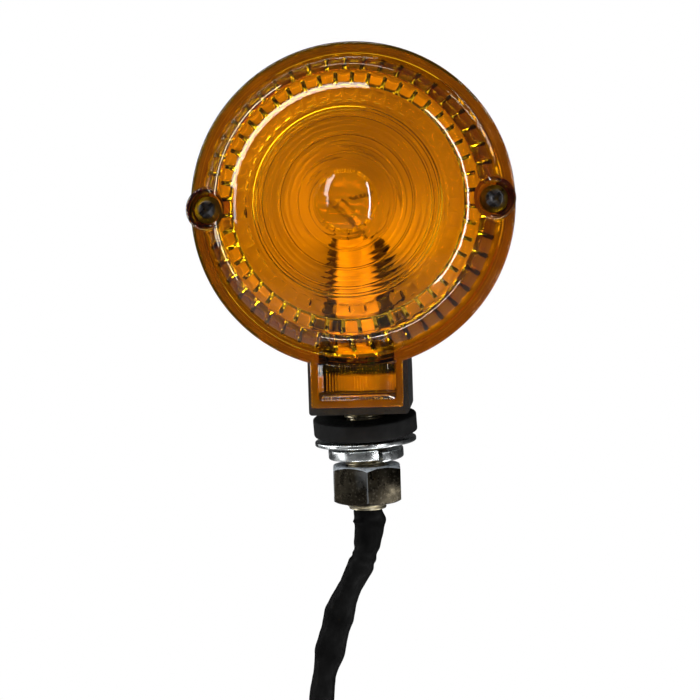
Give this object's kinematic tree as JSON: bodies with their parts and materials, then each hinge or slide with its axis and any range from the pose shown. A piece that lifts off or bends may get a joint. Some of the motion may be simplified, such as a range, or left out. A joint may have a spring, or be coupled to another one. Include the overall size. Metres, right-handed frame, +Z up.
{
  "type": "turn signal indicator",
  "caption": "Round amber lamp on a black housing with a hollow threaded stem, washers, nut and a sleeved lead.",
  "frame": {"origin": "on the stem's axis at the bottom face of the housing's neck, where the indicator meets what it is mounted on", "axes": "+Z up along the stem, -Y the way the lens faces, +X to the right seen from in front"},
  "size_m": [0.086, 0.055, 0.2818],
  "materials": {
    "black_plastic": "semi-gloss black moulding",
    "amber_lens": "clear amber moulding with optics",
    "rubber_black": "matte black",
    "zinc_plate": "bright zinc plate",
    "dark_zinc": "dull dark zinc plate",
    "black_screw": "black oxide",
    "brass": "plain",
    "nickel": "nickel plate",
    "reflector_chrome": "bright metallised",
    "bulb_glass": "clear",
    "phenolic": "brown fibre",
    "tungsten": "drawn wire",
    "pvc_black": "soft sheen vinyl",
    "wire_live": "vinyl insulation",
    "wire_earth": "vinyl insulation"
  },
  "bodies": {
    "indicator": {"housing": "black_plastic", "screw_insert_left": "brass", "screw_insert_right": "brass", "reflector": "reflector_chrome", "bulb_socket": "nickel", "socket_insulator": "phenolic", "contact_spring": "nickel", "live_terminal": "brass", "socket_bracket": "nickel", "earth_terminal": "brass", "bracket_screw": "zinc_plate", "stem_bolt": "zinc_plate", "live_wire": "wire_live", "earth_wire": "wire_earth", "lead_sleeve": "pvc_black", "lead_hank": "pvc_black", "hank_tie": "pvc_black", "live_wire_tail": "wire_live", "earth_wire_tail": "wire_earth", "live_connector_cover": "pvc_black", "earth_connector_cover": "pvc_black", "live_connector": "brass", "earth_connector": "brass"},
    "lens_unit": {"lens": "amber_lens", "lens_gasket": "rubber_black"},
    "screw_left": {"lens_screw_left": "black_screw"},
    "screw_right": {"lens_screw_right": "black_screw"},
    "contact": {"contact_plunger": "brass"},
    "bulb": {"bulb_cap": "nickel", "bulb_pin_left": "brass", "bulb_pin_right": "brass", "bulb_insulator": "phenolic", "bulb_contact": "nickel", "bulb_glass": "bulb_glass", "glass_pinch": "bulb_glass", "filament_post_left": "nickel", "filament_post_right": "nickel", "filament": "tungsten"},
    "washers": {"rubber_washer": "rubber_black", "flat_washer": "zinc_plate", "lock_washer": "zinc_plate"},
    "nut": {"mounting_nut": "dark_zinc"}
  },
  "joints": [
    {"name": "lens_off", "type": "slide", "parent": "indicator", "child": "lens_unit", "axis": [0, -1, 0], "range_m": [0, 0.03]},
    {"name": "screw_left_turn", "type": "hinge", "parent": "lens_unit", "child": "screw_left", "pos_m": [-0.0372, -0.02, 0.0556], "axis": [0, -1, 0], "continuous": true},
    {"name": "screw_right_turn", "type": "hinge", "parent": "lens_unit", "child": "screw_right", "pos_m": [0.0372, -0.02, 0.0556], "axis": [0, -1, 0], "continuous": true},
    {"name": "bulb_push", "type": "slide", "parent": "indicator", "child": "contact", "axis": [0, 0, -1], "range_m": [0, 0.0015], "stiffness_N_per_m": 3000, "springref_m": -0.002, "deforming": ["contact_spring"]},
    {"name": "bulb_twist", "type": "hinge", "parent": "contact", "child": "bulb", "pos_m": [0, -0.01, 0.0368], "axis": [0, 0, 1], "range_deg": [0, 18]},
    {"name": "washer_travel", "type": "slide", "parent": "indicator", "child": "washers", "axis": [0, 0, -1], "range_m": [0, 0.0052]},
    {"name": "nut_turn", "type": "hinge", "parent": "washers", "child": "nut", "pos_m": [0, 0, -0.0213], "axis": [0, 0, 1], "range_deg": [-12, 1260]}
  ],
  "couplings": [
    {"joint": "nut_turn", "follows": "washer_travel", "rad_per_m": 4188.8}
  ]
}
